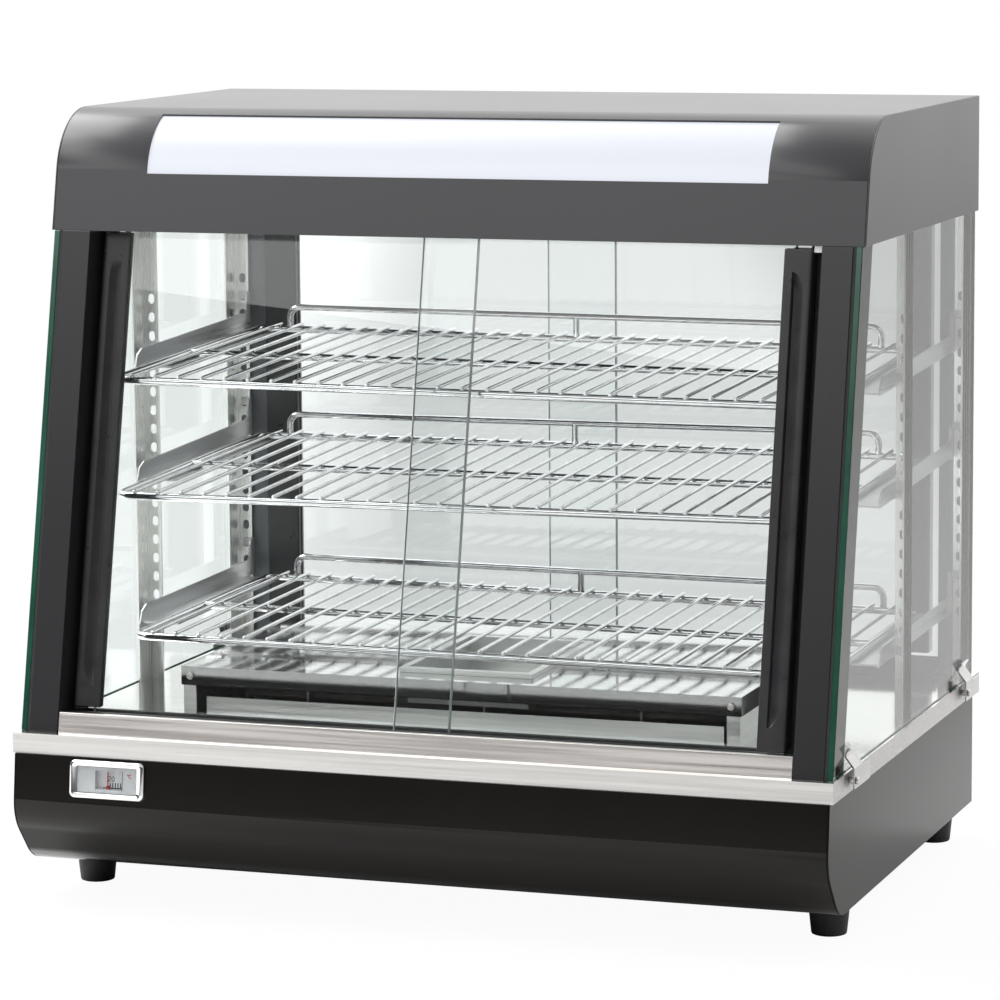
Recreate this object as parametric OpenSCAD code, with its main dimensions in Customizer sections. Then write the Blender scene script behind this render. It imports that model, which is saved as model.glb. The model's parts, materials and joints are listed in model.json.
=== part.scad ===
// Countertop hot food display case: a heated base, a slanted sliding-door front, upright sliding doors at
// the back, glass sides, three sloping wire shelves and a lit canopy.
// X runs across the case, Y from the front to the back, Z up. The origin is on the table, midway between
// the outer sides and midway between the front and the back of the deck.

/* [Overall] */
// Width over the stainless deck
case_w = 660; // [620:1:760]
// Depth over the stainless deck
case_d = 475; // [465:1:520]
// Height from the table to the top of the canopy
case_h = 615; // [600:1:680]
// Height of the rubber feet
foot_h = 28; // [20:1:40]
// Height of the top face of the deck above the table
deck_z = 135.5; // [130:0.5:140]
// Depth of the deck's turned-down edge
rim_h = 16; // [12:0.5:18]
// Height of the underside of the canopy
canopy_z = 521; // [515:1:535]

/* [Front] */
// How far the front posts stand behind the deck's front edge
front_setback = 9.5; // [6:0.5:14]
// How far the front leans back between the deck and the canopy
front_lean = 80.8; // [60:0.2:90]
// Height of the stainless sill in front of the door tracks
sill_h = 15.5; // [14:0.5:18]

/* [Glass and doors] */
// Thickness of every sheet of glass
glass_t = 5; // [4:0.5:5]
// Width of a post's front face
post_w = 24; // [20:1:26]
// Depth of a front post
post_depth = 34; // [30:1:34]
// Width of a front door's handle
front_handle_w = 22; // [20:0.5:24]
// Width of a rear door's handle
rear_handle_w = 29; // [24:0.5:30]
// Half of the overlap between two closed front doors
front_overlap = 20.5; // [15:0.5:35]
// How far each closed rear door reaches past the middle, left and right
rear_overlap = [26, 38]; // [15:0.5:40]

/* [Shelves] */
// Height of each shelf's front rod, top shelf first
shelf_front_z = [400.7, 310.3, 191.4];
// Rise of each shelf from its front rod to its rear rod
shelf_rise = [10.6, 11, 4.4];
// Distance from the deck's front edge to each shelf's front rod
shelf_front = [102, 107, 127];
// Distance from the deck's front edge to the rear rods
shelf_rear = 411; // [408:1:412]
// How far each shelf sits to the right of the middle
shelf_shift = [0, -1.5, 3];
// How much higher each shelf's right side rod rests than its middle
shelf_tip = [-1.6, 1, -1.8];
// Half of the distance between a shelf's side rods
shelf_half_w = 284; // [282:0.5:285]
// Number of wires across a shelf
wire_count = 28; // [20:1:32]
// Distance between wires
wire_pitch = 19.8; // [15:0.1:20]
// Diameter of a frame rod
rod_d = 6.4; // [5:0.2:7]
// Diameter of a cross wire
wire_d = 3.2; // [2.8:0.1:4]
// Height of the rear guard rail above the rear rod
rail_h = 19; // [15:1:25]

/* [Shelf standards] */
// Height of the highest slot
slot_top_z = 452; // [450:0.5:455]
// Distance between slots
slot_pitch = 15.4; // [15:0.1:15.8]
// Number of slots in a standard
slot_count = 18; // [18:1:18]

/* [Heater] */
// Height of the heater cover above the deck
heater_h = 39.5; // [36:0.5:44]
// Half of the heater cover's width
heater_half_w = 231; // [200:1:240]

/* [Hidden] */
$fn = 48;
y0 = -case_d / 2;                       // front edge of the deck
sheet = 1.5;                            // thickness of the folded sheets
half_w = case_w / 2;
base_half_w = half_w - 2;               // outer face of the base sides
rim_z = deck_z - rim_h;                 // lower edge of the deck's turned-down edge
rear_y = y0 + 461;                      // rear face of the base and the canopy
lean_slope = front_lean / (canopy_z - deck_z);
lean_angle = atan(lean_slope);
post_in = 296.5;                        // inner face of the posts
post_out = post_in + post_w;
glass_out = 327.5;                      // outer face of the side glass
glass_in = glass_out - glass_t;
track_half = post_in - 0.5;             // half length of the tracks between the posts
rib_top = deck_z + 14;                  // top of the lower tracks' ribs
groove_z = deck_z + 3;                  // floor of the lower tracks' grooves
glass_low = groove_z + 0.2;             // lower edge of the door glass
glass_high = canopy_z + 7;              // upper edge of the door glass
track_top_z = canopy_z + 12;            // top of the upper tracks
handle_low = deck_z + 18;
handle_high = canopy_z - 2.5;
slant_t = glass_t / cos(lean_angle);    // glass thickness measured level
front_out_o = 6.5;                      // outer front door: glass front face behind the post face
front_in_o = 20;                        // inner front door
rear_in_y = y0 + 437.5;                 // inner rear door: glass front face
rear_out_y = y0 + 451;                  // outer rear door
door_out_x = 289.5;                     // outer edge of a door handle
door_bite = 8;                          // how far the glass goes into its handle
handle_end = 17;                        // from a handle's end to its finger recess
handle_back = 5;                        // how far a handle's rear lip is set back from its inner edge
function plane_front(i) = y0 + shelf_front[i];
function shelf_depth(i) = shelf_rear - shelf_front[i];
standard_front_y = y0 + 252;            // rear face of the front standards
standard_rear_y = y0 + 447.5;           // rear face of the rear standards
standard_depth = 25;
slot_w = 5.5;
slot_h = 8.2;
web_in = 308;                           // inner face of a bracket's upright web
web_t = 1.5;
flange_w = 32;                          // width of the ledge a shelf rests on
hook_x = 315.5;                         // centre line of the slots
front_slots = [3, 9, 17];               // the slot each front hook sits in
rear_slots = [1, 7, 15];
foot_x = 302.6;
foot_ys = [y0 + 93.8, y0 + 430.7];
foot_top_r = 16.5;
foot_low_r = 13.5;
foot_bore_r = 2.5;
foot_recess = 10;                       // depth of the recess for the screw's head
foot_head = 3;                          // height of the screw's head
clip_ys = [y0 + 42, y0 + 406];          // front ends of the clips
clip_len = 46;
clip_arm_len = 24;
clip_screw_in = 5.5;                    // from a clip's front end to its screw
clip_screw_z = deck_z - 6.5;
clip_off = 4.2;                         // gap between the deck's edge and a clip's lower plate
clip_t = 1.2;
small_bore_r = 1.7;                     // clearance hole for the small screws
switch_xs = [-130, -88];                // heat switch, light switch
switch_z = 78;
switch_rest = 10;                       // tilt of a rocker at rest
knob_x = -205;
knob_z = 78;
shaft_r = 3;
inlet_x = 250;
inlet_z = 72;
inlet_screw_x = 20;
gauge_x = -248.3;
gauge_z = 103;
gauge_w = 63;
gauge_h = 30;
needle_pivot_z = -5.6;

black = [0.10, 0.10, 0.11];
dark_grey = [0.22, 0.22, 0.24];
steel = [0.78, 0.77, 0.75];
chrome = [0.86, 0.87, 0.89];
pane = [0.72, 0.84, 0.80, 0.35];
pale = [0.93, 0.95, 1.00, 0.9];
red = [0.80, 0.10, 0.10];

// ---- shared shapes -------------------------------------------------------------------------------

// The level distance of the slanted front from the deck's front edge, at a height
function front_y(z) = y0 + front_setback + (z - deck_z) * lean_slope;

module box(x0, x1, ya, yb, z0, z1) {
    translate([x0, ya, z0]) cube([x1 - x0, yb - ya, z1 - z0]);
}

// An outline drawn in the YZ plane, carried along X
module along_x(x0, x1, pts) {
    translate([x0, 0, 0]) rotate([90, 0, 90]) linear_extrude(height = x1 - x0) polygon(pts);
}

// A bar that leans with the front: o is measured level, back from the posts' front faces
module slant(x0, x1, o0, o1, z0, z1) {
    along_x(x0, x1, [
        [front_y(z0) + o0, z0], [front_y(z0) + o1, z0],
        [front_y(z1) + o1, z1], [front_y(z1) + o0, z1]
    ]);
}

// Places its children on the right (+1) or mirrored on the left (-1)
module side(s) {
    if (s > 0) {
        children();
    } else {
        mirror([1, 0, 0]) children();
    }
}

module rod_x(x0, x1, y, z, d) {
    translate([x0, y, z]) rotate([0, 90, 0]) cylinder(h = x1 - x0, d = d);
}

module rod_y(x, ya, yb, z, d) {
    translate([x, ya, z]) rotate([-90, 0, 0]) cylinder(h = yb - ya, d = d);
}

// ---- base ----------------------------------------------------------------------------------------

base_lean = 6.5;
base_r = 35;
base_curl = 220;                        // where the two arcs of the front meet their common tangent
base_upper_c = [y0 + 29.4, foot_h + 52.4];
base_lower_c = [y0 + 44, foot_h + base_r];
function on_arc(c, r, a) = [c[0] + r * cos(a), c[1] + r * sin(a)];

// The base's outline, inset by t: the front leans out, then curls under in two arcs. It runs past
// its open rear and top by over.
module base_outline(t, over) {
    polygon([
        [y0 - 1.4 + t, rim_z + over], [y0 - 1.4 + t, rim_z],
        on_arc(base_upper_c, base_r - t, 180 - base_lean), on_arc(base_upper_c, base_r - t, base_curl),
        on_arc(base_lower_c, base_r - t, base_curl), [base_lower_c[0], foot_h + t],
        [rear_y + over, foot_h + t], [rear_y + over, rim_z + over]
    ]);
    for (c = [base_upper_c, base_lower_c]) translate(c) circle(r = base_r - t);
}

// Carries a shape drawn in the YZ plane along X
module extrude_x(x0, x1) {
    translate([x0, 0, 0]) rotate([90, 0, 90]) linear_extrude(height = x1 - x0) children();
}

module base_shell() {
    x1 = base_half_w - sheet;
    color(black) difference() {
        union() {
            extrude_x(-x1, x1) difference() {
                base_outline(0, 0);
                base_outline(sheet, 1);
            }
            box(-x1, x1, y0, y0 + 16, rim_z - sheet, rim_z);
        }
        gauge_frame() translate([-gauge_cut_w / 2, -6, -gauge_cut_h / 2])
            cube([gauge_cut_w, 14, gauge_cut_h]);
        for (x = [-foot_x, foot_x], y = foot_ys)
            translate([x, y, foot_h - 1]) cylinder(h = sheet + 2, r = foot_bore_r);
    }
}

module base_side() {
    extrude_side() {
        base_outline(0, 0);
        translate([y0 + 2, rim_z - 1]) square([rear_y - y0 - 2, rim_h - sheet + 1]);
    }
}
module extrude_side() {
    color(black) extrude_x(base_half_w - sheet, base_half_w) children();
}
module base_side_left() { side(-1) base_side(); }
module base_side_right() { side(1) base_side(); }

switch_cut = [27.4, 23.4];
inlet_cut = [27.6, 20.6];
louvre_count = 6;
module base_rear_panel() {
    color(black) difference() {
        box(-base_half_w + sheet, base_half_w - sheet, rear_y - sheet, rear_y,
            foot_h + sheet, deck_z - sheet);
        translate([knob_x, rear_y + 1, knob_z]) rotate([90, 0, 0]) cylinder(h = 4, r = shaft_r + 1);
        for (x = switch_xs)
            translate([x - switch_cut[0] / 2, rear_y - 3, switch_z - switch_cut[1] / 2])
                cube([switch_cut[0], 5, switch_cut[1]]);
        translate([inlet_x - inlet_cut[0] / 2, rear_y - 3, inlet_z - inlet_cut[1] / 2])
            cube([inlet_cut[0], 5, inlet_cut[1]]);
        for (s = [-1, 1]) translate([inlet_x + s * inlet_screw_x, rear_y + 1, inlet_z])
            rotate([90, 0, 0]) cylinder(h = 4, r = small_bore_r);
        for (x = [0, 90], i = [0:louvre_count - 1])
            translate([x, rear_y - 3, 56 + 8 * i]) cube([64, 5, 3.5]);
    }
}

module deck_tray() {
    color(steel) difference() {
        box(-half_w, half_w, y0, y0 + case_d, rim_z, deck_z);
        box(-half_w + sheet, half_w - sheet, y0 + sheet, y0 + case_d - sheet, rim_z - 1, deck_z - sheet);
        for (s = [-1, 1], y = clip_ys) side(s)
            translate([half_w - 3, y + clip_screw_in, clip_screw_z]) rotate([0, 90, 0])
                cylinder(h = 6, r = small_bore_r);
        for (y = element_ys)
            translate([-element_end, y, deck_z - 3]) cylinder(h = 6, r = element_r + 0.75);
    }
}

module front_sill() {
    color(steel) {
        slant(-track_half, track_half, 0.8, 2.4, deck_z, deck_z + sill_h);
        slant(-track_half, track_half, 2.4, 5, rib_top, deck_z + sill_h);
    }
}

module foot(sx, iy) {
    color(black) translate([sx * foot_x, foot_ys[iy], 0]) difference() {
        cylinder(h = foot_h, r1 = foot_low_r, r2 = foot_top_r);
        translate([0, 0, -1]) cylinder(h = foot_h + 2, r = foot_bore_r);
        translate([0, 0, -1]) cylinder(h = foot_recess + 1, r = 6);
    }
}
module foot_front_left() { foot(-1, 0); }
module foot_front_right() { foot(1, 0); }
module foot_rear_left() { foot(-1, 1); }
module foot_rear_right() { foot(1, 1); }

// A machine screw up through each foot, with its nut inside the base
module foot_screws() {
    low = foot_recess - foot_head;
    nut_z = foot_h + sheet;
    color(steel) for (x = [-foot_x, foot_x], y = foot_ys) translate([x, y, 0]) {
        translate([0, 0, low]) cylinder(h = foot_head, r = 4.6);
        translate([0, 0, low]) cylinder(h = nut_z + 5 - low, r = 2.2);
        translate([0, 0, nut_z]) cylinder(h = 3.2, r = 4.2);
    }
}

// ---- heater --------------------------------------------------------------------------------------

heater_front = y0 + 105;
heater_rear = y0 + 375;
heater_top = deck_z + heater_h;
lid_t = 1.2;
lid_skirt = 15;
vent_half_w = 219;                      // half width of the opening in the box's front
plate_half_w = 214;
plate_in = 9;                           // how far the low plate stands behind the box's front
plate_h = 14;
pan_rim = 4;                            // height of the water pan's rolled rim
wall_in = 1.4;                          // how far the box's walls stand inside the lid's skirt
pan_x = 50;
pan_front = y0 + 135;
pan_rear = y0 + 281;
pan_z = heater_top - 25;
element_z = deck_z + 7;
element_r = 4.25;
element_end = 205;
element_tail = 18;                      // how far the element's ends reach below the deck
element_ys = [y0 + 180, y0 + 236];
element_bend = (element_ys[1] - element_ys[0]) / 2;

module cover_screw_holes() {
    for (s = [-1, 1]) translate([s * (heater_half_w - 8), heater_front + 4, heater_top - lid_skirt / 2])
        rotate([90, 0, 0]) cylinder(h = 8, r = small_bore_r);
}

module heater_box() {
    x1 = heater_half_w - wall_in;
    ya = heater_front + wall_in;
    yb = heater_rear - wall_in;
    top = heater_top - lid_t;
    color(chrome) difference() {
        box(-x1, x1, ya, yb, deck_z, top);
        box(-x1 + lid_t, x1 - lid_t, ya + lid_t, yb - lid_t, deck_z - 1, top + 1);
        box(-vent_half_w, vent_half_w, ya - 1, ya + 2, deck_z - 1, heater_top - lid_skirt + 1);
        cover_screw_holes();
    }
    // a low plate behind the opening, on a foot that joins the walls
    color(chrome) {
        box(-x1 + lid_t / 2, x1 - lid_t / 2, ya + lid_t + 1, ya + plate_in + 1, deck_z, deck_z + 1);
        box(-plate_half_w, plate_half_w, ya + plate_in, ya + plate_in + 1, deck_z, deck_z + plate_h);
    }
}

module heater_cover() {
    x1 = heater_half_w;
    color(chrome) difference() {
        box(-x1, x1, heater_front, heater_rear, heater_top - lid_skirt, heater_top);
        box(-x1 + lid_t, x1 - lid_t, heater_front + lid_t, heater_rear - lid_t,
            heater_top - lid_skirt - 1, heater_top - lid_t);
        box(-pan_x - 1.5, pan_x + 1.5, pan_front - 1.5, pan_rear + 1.5, heater_top - 3, heater_top + 1);
        cover_screw_holes();
    }
}

module water_pan() {
    wall = 1;
    rim = 5;
    color(chrome) difference() {
        union() {
            box(-pan_x, pan_x, pan_front, pan_rear, pan_z, heater_top + pan_rim);
            box(-pan_x - rim, pan_x + rim, pan_front - rim, pan_rear + rim,
                heater_top, heater_top + pan_rim);
        }
        box(-pan_x + wall, pan_x - wall, pan_front + wall, pan_rear - wall,
            pan_z + wall, heater_top + 5);
    }
}

module heating_element() {
    color(dark_grey) {
        for (y = element_ys) {
            rod_x(-element_end, element_end - element_bend, y, element_z, 2 * element_r);
            translate([-element_end, y, element_z]) sphere(r = element_r);
            translate([-element_end, y, deck_z - element_tail])
                cylinder(h = element_tail + element_z - deck_z, r = element_r);
        }
        translate([element_end - element_bend, element_ys[0] + element_bend, element_z])
            rotate([0, 0, -90]) rotate_extrude(angle = 180) translate([element_bend, 0])
                circle(r = element_r);
    }
}

module element_supports() {
    color(steel) for (x = [-150, 0, 130]) difference() {
        box(x, x + 2, element_ys[0] - 10, element_ys[1] + 10, deck_z, element_z + 6);
        for (y = element_ys) rod_x(x - 1, x + 3, y, element_z, 2 * element_r + 0.1);
    }
}

// ---- controls at the back ------------------------------------------------------------------------

module thermostat() {
    color(dark_grey) difference() {
        translate([knob_x - 20, rear_y - sheet - 30, knob_z - 17]) cube([40, 30, 34]);
        translate([knob_x, rear_y - sheet + 1, knob_z]) rotate([90, 0, 0])
            cylinder(h = 16, r = shaft_r + 0.05);
    }
}

module thermostat_knob() {
    color(black) {
        translate([knob_x, rear_y + 1, knob_z]) rotate([-90, 0, 0]) difference() {
            union() {
                cylinder(h = 3, r = 18.5);
                cylinder(h = 12.5, r = 15);
            }
            translate([-1, -14.5, 11.5]) cube([2, 9, 2]);
        }
        translate([knob_x, rear_y + 2, knob_z]) rotate([90, 0, 0]) cylinder(h = 17, r = shaft_r);
    }
}

rocker_w = 13;
rocker_y = rear_y - 1.5;                // the rockers' pivot line
trunnion_r = 1.5;
module switch_body(x) {
    translate([x, 0, switch_z]) difference() {
        union() {
            box(-15, 15, rear_y, rear_y + 2, -13, 13);
            box(-13.5, 13.5, rear_y - 24, rear_y, -11.5, 11.5);
        }
        box(-rocker_w / 2 - 0.6, rocker_w / 2 + 0.6, rear_y - 9, rear_y + 3, -10.2, 10.2);
        rod_x(-rocker_w / 2 - 3, rocker_w / 2 + 3, rocker_y, 0, 2 * trunnion_r + 0.1);
    }
}
module switch_bodies() { color(dark_grey) for (x = switch_xs) switch_body(x); }

// A rocker's outline about its pivot: two flat faces that meet in a shallow valley
rocker_pts = [[5.6, -8.2], [3.6, 0], [5.6, 8.2], [-2, 8.2], [-4, 5], [-4, -5], [-2, -8.2]];
module rocker(x, shade) {
    color(shade) translate([x, rocker_y, switch_z]) rotate([switch_rest, 0, 0]) {
        along_x(-rocker_w / 2, rocker_w / 2, rocker_pts);
        rod_x(-rocker_w / 2 - 2.4, rocker_w / 2 + 2.4, 0, 0, 2 * trunnion_r);
    }
}
module heat_rocker() { rocker(switch_xs[0], red); }
module light_rocker() { rocker(switch_xs[1], black); }

module power_inlet() {
    color(black) translate([inlet_x, 0, inlet_z]) {
        difference() {
            union() {
                box(-25, 25, rear_y, rear_y + 3, -13, 13);
                box(-13.6, 13.6, rear_y - 22, rear_y, -10.1, 10.1);
            }
            box(-12, 12, rear_y - 16, rear_y + 4, -8, 8);
            for (s = [-1, 1]) translate([s * inlet_screw_x, rear_y + 4, 0]) rotate([90, 0, 0])
                cylinder(h = 5, r = small_bore_r);
        }
        for (x = [-7, 0, 7]) box(x - 1, x + 1, rear_y - 17, rear_y - 3, -2.5, 2.5);
    }
}

// ---- thermometer ---------------------------------------------------------------------------------

gauge_cut_w = 54;
gauge_cut_h = 24;
// The local frame of the thermometer: X across, Y into the base, Z up the leaning front
module gauge_frame() {
    translate([gauge_x, y0 - 1.4 - (rim_z - gauge_z) * tan(base_lean), gauge_z])
        rotate([-base_lean, 0, 0]) children();
}

module rounded_plate(w, h, ya, yb, r) {
    box(-w / 2 + r, w / 2 - r, ya, yb, -h / 2, h / 2);
    box(-w / 2, w / 2, ya, yb, -h / 2 + r, h / 2 - r);
    for (x = [-1, 1], z = [-1, 1])
        translate([x * (w / 2 - r), yb, z * (h / 2 - r)]) rotate([90, 0, 0]) cylinder(h = yb - ya, r = r);
}

module thermometer_bezel() {
    color(chrome) gauge_frame() difference() {
        union() {
            rounded_plate(gauge_w, gauge_h, -3, -0.1, 4);
            rounded_plate(gauge_w - 3, gauge_h - 3, -3.9, -3, 3);
        }
        box(-25.4, 25.4, -8, 1, -10.4, 10.4);
    }
}

module thermometer_lens() {
    color(pane) gauge_frame() box(-25.2, 25.2, -2.4, -1.4, -10.2, 10.2);
}

module thermometer_housing() {
    color([0.93, 0.93, 0.92]) gauge_frame() difference() {
        union() {
            box(-25.2, 25.2, -1.2, 0, -10.2, 10.2);
            box(-26, 26, 0, 18, -11.5, 11.5);
        }
        box(-9.2, 13, -3, 3, -7.3, 7.2);
        translate([0, -1, needle_pivot_z]) rotate([-90, 0, 0]) cylinder(h = 10, r = 1.05);
    }
}

module thermometer_needle() {
    color(red) gauge_frame() translate([0, 0, needle_pivot_z]) {
        rotate([-90, 0, 0]) cylinder(h = 6, r = 1);
        box(-0.35, 0.35, 0.4, 1.2, 0, 12.2);
        rotate([-90, 0, 0]) translate([0, 0, 0.4]) cylinder(h = 0.8, r = 1.3);
    }
}

// ---- posts, tracks and doors ---------------------------------------------------------------------

// stop_o is the front face of the lip that the door's handle closes against
module front_post(stop_o) {
    color(dark_grey) {
        difference() {
            slant(post_in, post_out, 0, post_depth, deck_z, canopy_z);
            slant(post_in + 1.6, post_out - 1.6, 1.6, post_depth - 1.6, deck_z - 1, canopy_z + 1);
        }
        slant(post_in - 12, post_in + 1, stop_o, stop_o + 2.2, rib_top + 0.2, canopy_z);
    }
}
module front_post_left() { side(-1) front_post(29.4); }
module front_post_right() { side(1) front_post(16); }

module rear_post() {
    color(dark_grey) difference() {
        box(post_in, post_out, y0 + 451, y0 + 460.5, deck_z, canopy_z);
        box(post_in + 1.5, post_out - 1.5, y0 + 452.5, y0 + 459, deck_z - 1, canopy_z + 1);
    }
}
module rear_post_left() { side(-1) rear_post(); }
module rear_post_right() { side(1) rear_post(); }

// Level ribs either side of the two grooves: [near face, far face]
front_ribs = [[2.5, 5], [15.2, 18.9], [29.2, 33.5]];
rear_ribs = [[y0 + 433.4, y0 + 435], [y0 + 445, y0 + 448.4], [y0 + 457.2, y0 + 459.3]];

module front_tracks() {
    color(black) {
        slant(-track_half, track_half, 2.5, 33.5, deck_z, groove_z);
        slant(-post_out, post_out, 2.5, 33.5, track_top_z - 3, track_top_z);
        for (r = front_ribs) {
            slant(-track_half, track_half, r[0], r[1], groove_z, rib_top);
            slant(-post_out, post_out, r[0], r[1], canopy_z, track_top_z - 3);
        }
        // a stop below the upper track, where the right door closes
        slant(door_out_x + 0.6, track_half, 2.5, 12, canopy_z - 5, canopy_z);
    }
}

module rear_tracks() {
    color(black) {
        box(-track_half, track_half, rear_ribs[0][0], rear_ribs[2][1], deck_z, groove_z);
        box(-post_out, post_out, rear_ribs[0][0], rear_ribs[2][1], track_top_z - 3, track_top_z);
        for (r = rear_ribs) {
            box(-track_half, track_half, r[0], r[1], groove_z, rib_top);
            box(-post_out, post_out, r[0], r[1], canopy_z, track_top_z - 3);
        }
    }
}

front_glass_x = door_out_x - front_handle_w + door_bite;   // outer edges of the door glass
rear_glass_x = door_out_x - rear_handle_w + door_bite;
module front_pane(o) {
    color(pane) slant(-front_overlap, front_glass_x, o, o + slant_t, glass_low, glass_high);
}
module front_door_glass_left() { side(-1) front_pane(front_in_o); }
module front_door_glass_right() { side(1) front_pane(front_out_o); }

// A slanted pull: o0 and o1 are its front and rear faces, o is the glass it holds
module front_handle(o0, o1, o) {
    x0 = door_out_x - front_handle_w;
    color(dark_grey) difference() {
        union() {
            slant(x0, door_out_x, o0, o + slant_t / 2, handle_low, handle_high);
            slant(x0 + handle_back, door_out_x, o0, o1, handle_low, handle_high);
        }
        slant(x0 - 1, front_glass_x, o, o + slant_t, handle_low - 1, handle_high + 1);
        slant(x0 + 7, door_out_x - 4, o0 - 1, o0 + 3, handle_low + handle_end, handle_high - handle_end);
    }
}
module front_door_handle_left() { side(-1) front_handle(14, 28.5, front_in_o); }
module front_door_handle_right() { side(1) front_handle(0.5, 15, front_out_o); }

module rear_pane(ya, reach) {
    color(pane) box(-reach, rear_glass_x, ya, ya + glass_t, glass_low, glass_high);
}
module rear_door_glass_left() { side(-1) rear_pane(rear_in_y, rear_overlap[0]); }
module rear_door_glass_right() { side(1) rear_pane(rear_out_y, rear_overlap[1]); }

// An upright pull with its finger recess on the face at the back of the case
module rear_handle(ya, yb, yg) {
    x0 = door_out_x - rear_handle_w;
    color(dark_grey) difference() {
        box(x0, door_out_x, ya, yb, handle_low, handle_high);
        box(x0 - 1, rear_glass_x, yg, yg + glass_t, handle_low - 1, handle_high + 1);
        box(x0 + 8, door_out_x - 4, yb - 2.5, yb + 1, handle_low + handle_end, handle_high - handle_end);
    }
}
module rear_door_handle_left() { side(-1) rear_handle(y0 + 432.5, y0 + 447, rear_in_y); }
module rear_door_handle_right() { side(1) rear_handle(y0 + 448.6, y0 + 462.5, rear_out_y); }

module side_glass() {
    color(pane) along_x(glass_in, glass_out, [
        [front_y(deck_z) + 0.4, deck_z], [y0 + 459.5, deck_z],
        [y0 + 459.5, canopy_z], [front_y(canopy_z) + 0.4, canopy_z]
    ]);
}
module side_glass_left() { side(-1) side_glass(); }
module side_glass_right() { side(1) side_glass(); }

// Spring clips: a lower plate that stands off the deck's edge, and an arm that leans in to the glass
// and turns out again at its lip. Their outline is drawn in the XZ plane.
clip_x = half_w + clip_off;
clip_pts = [
    [clip_x, deck_z - 4], [clip_x + clip_t, deck_z - 4], [clip_x + clip_t, deck_z + 3.2],
    [glass_out + 1.5, deck_z + 11.8], [glass_out + 1.9, deck_z + 14.4], [glass_out + 4.3, deck_z + 18.1],
    [glass_out + 3.4, deck_z + 18.9], [glass_out + 0.8, deck_z + 15.2], [glass_out + 0.1, deck_z + 11.4],
    [clip_x, deck_z + 2.6]
];
module glass_clips() {
    color(steel) for (s = [-1, 1], y = clip_ys) side(s) difference() {
        union() {
            translate([0, y + clip_arm_len, 0]) rotate([90, 0, 0])
                linear_extrude(height = clip_arm_len) polygon(clip_pts);
            box(clip_x, clip_x + clip_t, y, y + clip_len, deck_z - 12.5, deck_z + 1.5);
        }
        translate([clip_x - 1, y + clip_screw_in, clip_screw_z]) rotate([0, 90, 0])
            cylinder(h = 4, r = small_bore_r);
    }
}

// Seals between the posts and the side glass
module glass_gaskets() {
    color(black) for (s = [-1, 1]) side(s) {
        slant(post_out, glass_in, 0.8, post_depth, deck_z, canopy_z);
        box(post_out, glass_in, y0 + 451, y0 + 459.5, deck_z, canopy_z);
    }
}

// ---- shelves -------------------------------------------------------------------------------------

// Height of a shelf's rod plane at a level distance
function shelf_z(i, y) = shelf_front_z[i] + shelf_rise[i] * (y - plane_front(i)) / shelf_depth(i);
function slot_z(k) = slot_top_z - slot_pitch * k;

module standard(yb) {
    difference() {
        union() {
            box(glass_in - sheet, glass_in, yb - standard_depth, yb, deck_z, canopy_z);
            box(web_in + 2, glass_in - sheet, yb - sheet, yb, deck_z, canopy_z);
        }
        for (k = [0:slot_count - 1]) translate([hook_x, 0, slot_z(k)]) {
            r = slot_w / 2;
            box(-r, r, yb - 3, yb + 1, -slot_h / 2 + r, slot_h / 2 - r);
            for (s = [-1, 1]) translate([0, yb + 1, s * (slot_h / 2 - r)]) rotate([90, 0, 0])
                cylinder(h = 4, r = r, $fn = 24);
        }
    }
}
module standards(s) { color(steel) side(s) for (y = [standard_front_y, standard_rear_y]) standard(y); }
module standards_left() { standards(-1); }
module standards_right() { standards(1); }

// A hook: a tab in front of the standard's slotted leg and a finger through the slot
module hook(yb, k) {
    front = yb - sheet;
    z = slot_z(k);
    box(web_in, hook_x + 2, front - 2, front - 0.05, z - 2.5, z + 4);
    box(hook_x - 2, hook_x + 2, front - 0.5, yb + 1.4, z - 2.5, z + 2);
}

web_top = 9.5;                          // top of a bracket's web above the rod plane
shelf_gap = 0.3;                        // running gap between a shelf and its brackets
// up is how far this side's bracket sits above the shelf's middle
module bracket(i, up) {
    ya = y0 + 200;
    yf = standard_front_y - sheet;
    yr = standard_rear_y - sheet;
    flange_end = y0 + 425;
    low = up - rod_d / 2 - shelf_gap;
    top = up + web_top;
    hook_r = slot_z(rear_slots[i]) + 4;
    along_x(web_in, web_in + web_t, [
        [ya, shelf_z(i, ya) + low - sheet], [yr - 0.05, shelf_z(i, yr) + low - sheet],
        [yr - 0.05, hook_r], [yr - 4, hook_r], [yr - 7, hook_r - 1.6], [yr - 8.6, hook_r - 5],
        [yr - 10.5, shelf_z(i, yr) + top + 1.6], [yr - 15, shelf_z(i, yr - 15) + top],
        [ya + 14, shelf_z(i, ya) + top], [ya + 5, shelf_z(i, ya) + up + 5]
    ]);
    along_x(web_in - flange_w, web_in, [
        [ya + 4, shelf_z(i, ya + 4) + low - sheet], [flange_end, shelf_z(i, flange_end) + low - sheet],
        [flange_end, shelf_z(i, flange_end) + low], [ya + 4, shelf_z(i, ya + 4) + low]
    ]);
    hook(standard_front_y, front_slots[i]);
    hook(standard_rear_y, rear_slots[i]);
}
module brackets(i) { color(steel) for (s = [-1, 1]) side(s) bracket(i, s * shelf_tip[i]); }
module top_brackets() { brackets(0); }
module middle_brackets() { brackets(1); }
module lower_brackets() { brackets(2); }

corner_r = 12;                          // bend radius of the frame rod
rail_half = 257;
rail_d = 5.5;
mid_rod_d = 6;
wire_over = 4;                          // how far a wire runs past the rear rod
wire_z = (rod_d + wire_d) / 2 - 0.8;    // wires are pressed into the rods where they are welded
module bend(x, y, turn, r, d) {
    translate([x, y, 0]) rotate([0, 0, turn]) rotate_extrude(angle = 90) translate([r, 0]) circle(d = d);
}

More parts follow.
